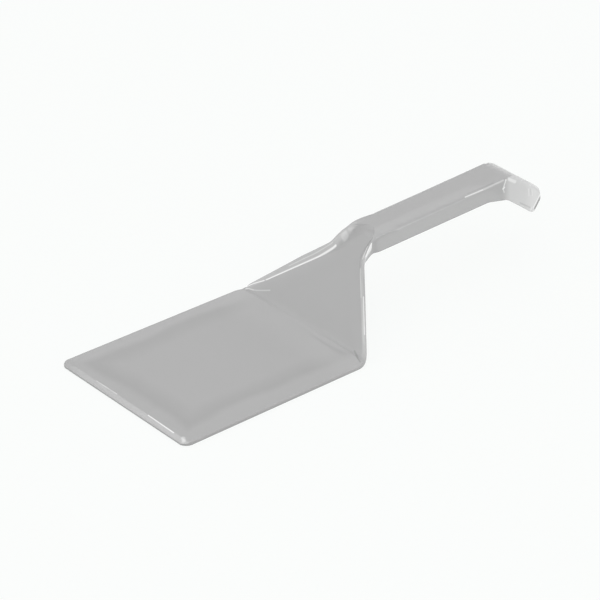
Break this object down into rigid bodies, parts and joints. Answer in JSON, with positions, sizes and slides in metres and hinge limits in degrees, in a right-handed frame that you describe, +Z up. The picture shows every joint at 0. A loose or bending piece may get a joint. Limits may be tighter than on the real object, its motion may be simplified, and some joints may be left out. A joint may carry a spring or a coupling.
{
  "type": "serving spatula",
  "caption": "One-piece clear plastic serving spatula: flat blade, recessed sloping neck with side rims, open-channel handle and a down-turned hook at its end.",
  "frame": {"origin": "centre of the spatula's length and width, on the surface that the blade lies on", "axes": "+X along the spatula from the blade's front edge to the hook, +Y across the blade, +Z up; the XZ plane is its plane of symmetry"},
  "size_m": [0.2718, 0.0984, 0.0446],
  "materials": {
    "clear_plastic": "gloss"
  },
  "bodies": {
    "root": {"blade": "clear_plastic", "neck_panel": "clear_plastic", "left_rim": "clear_plastic", "right_rim": "clear_plastic", "neck_collar": "clear_plastic", "handle_top": "clear_plastic", "left_handle_wall": "clear_plastic", "right_handle_wall": "clear_plastic", "hook_top": "clear_plastic", "left_hook_wall": "clear_plastic", "right_hook_wall": "clear_plastic", "hook_end_wall": "clear_plastic"}
  },
  "joints": []
}
